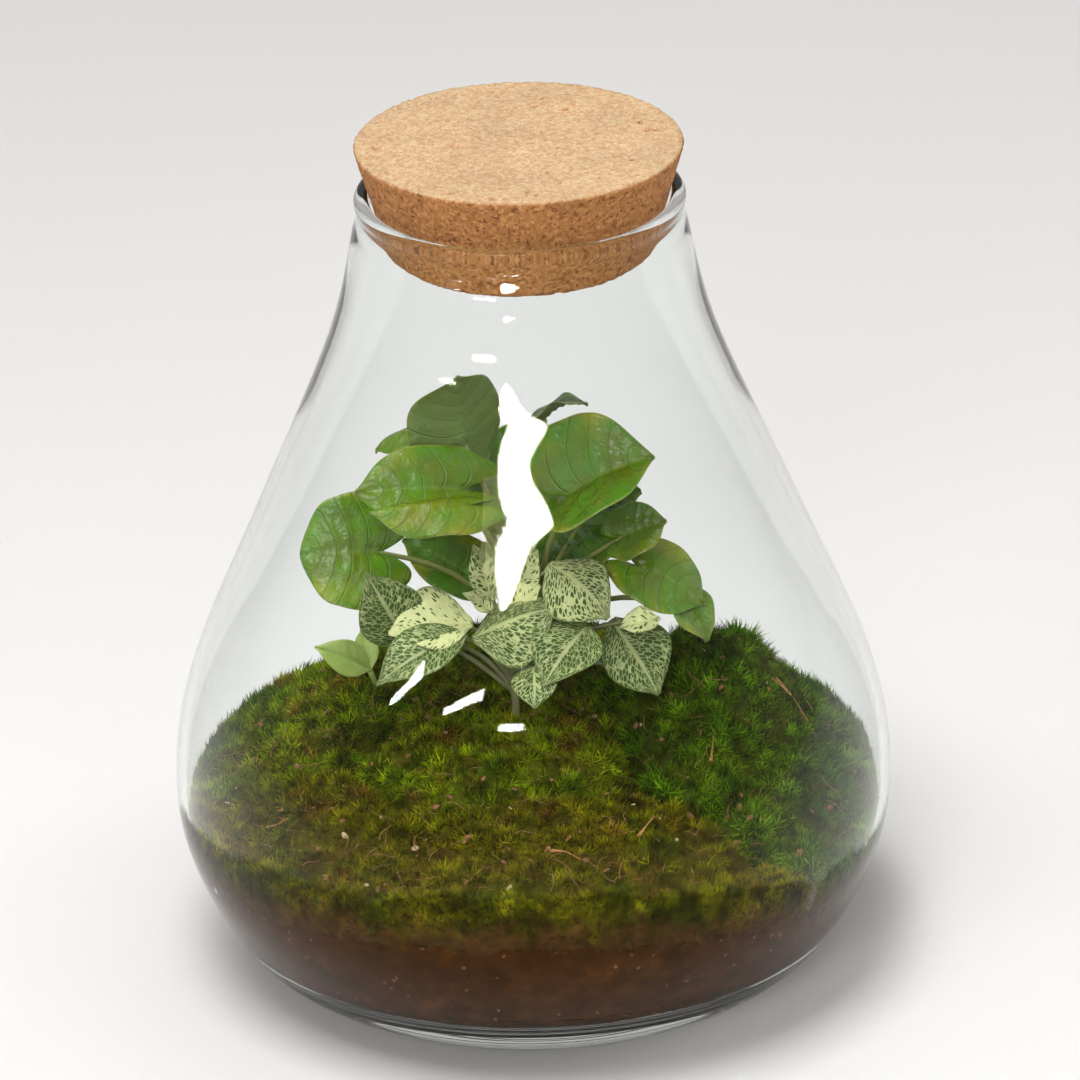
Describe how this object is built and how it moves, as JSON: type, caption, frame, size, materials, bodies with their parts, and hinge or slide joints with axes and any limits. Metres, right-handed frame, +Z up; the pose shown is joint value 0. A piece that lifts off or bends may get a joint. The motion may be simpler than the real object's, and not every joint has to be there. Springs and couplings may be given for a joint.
{
  "type": "glass plant terrarium",
  "caption": "Closed drop-shaped glass jar with a cork stopper, filled with soil, moss cushions, a glossy heart-leaved plant and a net-veined plant.",
  "frame": {"origin": "centre of the jar's foot, on the surface it stands on", "axes": "+Z up along the jar's axis, -Y towards the front of the planting, +X to its right"},
  "size_m": [0.2492, 0.2492, 0.302],
  "materials": {
    "clear_glass": "polished, clear",
    "cork": "pressed cork granules, matt",
    "soil": "damp potting soil",
    "dark_moss": "dense living moss",
    "moss": "loose living moss",
    "glossy_leaf": "smooth waxy leaf",
    "net_leaf": "satin leaf with pale net of veins",
    "young_leaf": "thin soft leaf"
  },
  "bodies": {
    "root": {"glass_jar": "clear_glass", "cork_stopper": "cork", "soil": "soil", "moss_right": "dark_moss", "moss_left_back": "moss", "moss_left_front": "moss", "moss_front": "moss", "moss_middle": "moss", "moss_back": "moss", "glossy_leaf_plant": "glossy_leaf", "net_leaf_plant": "net_leaf", "seedling": "young_leaf"}
  },
  "joints": []
}
